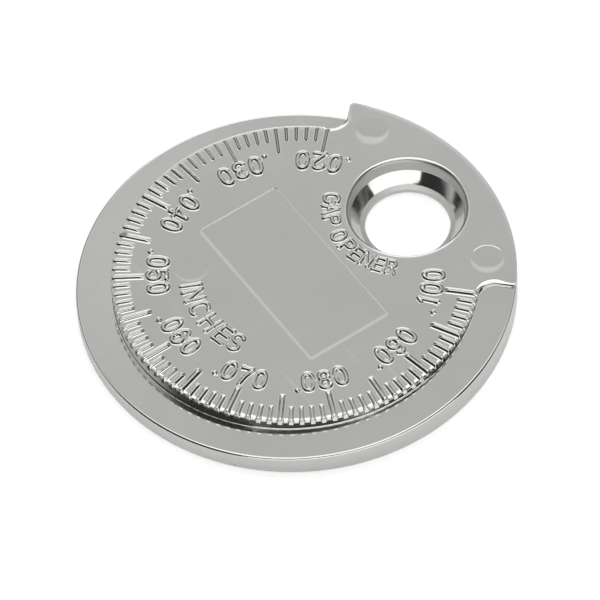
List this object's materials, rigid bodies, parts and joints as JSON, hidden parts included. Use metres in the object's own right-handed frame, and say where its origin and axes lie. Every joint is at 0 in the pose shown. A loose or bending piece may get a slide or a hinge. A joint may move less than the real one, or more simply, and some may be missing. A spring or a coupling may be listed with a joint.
{
  "type": "spark plug gap gauge",
  "caption": "Coin-type spark plug gap gauge: plated disc with a tapered gauging rim, a raised inch scale and a gap opener hole.",
  "frame": {"origin": "centre of the disc at its flat back, which lies on z = 0", "axes": "+Z out of the face with the scale, +Y through the middle of the tab that holds the gap opener hole"},
  "size_m": [0.0382, 0.0382, 0.0031],
  "materials": {
    "bright_plating": "bright plating on a zinc die casting, polished rim, faint handling wear"
  },
  "bodies": {
    "root": {"gauge_disc": "bright_plating"}
  },
  "joints": []
}
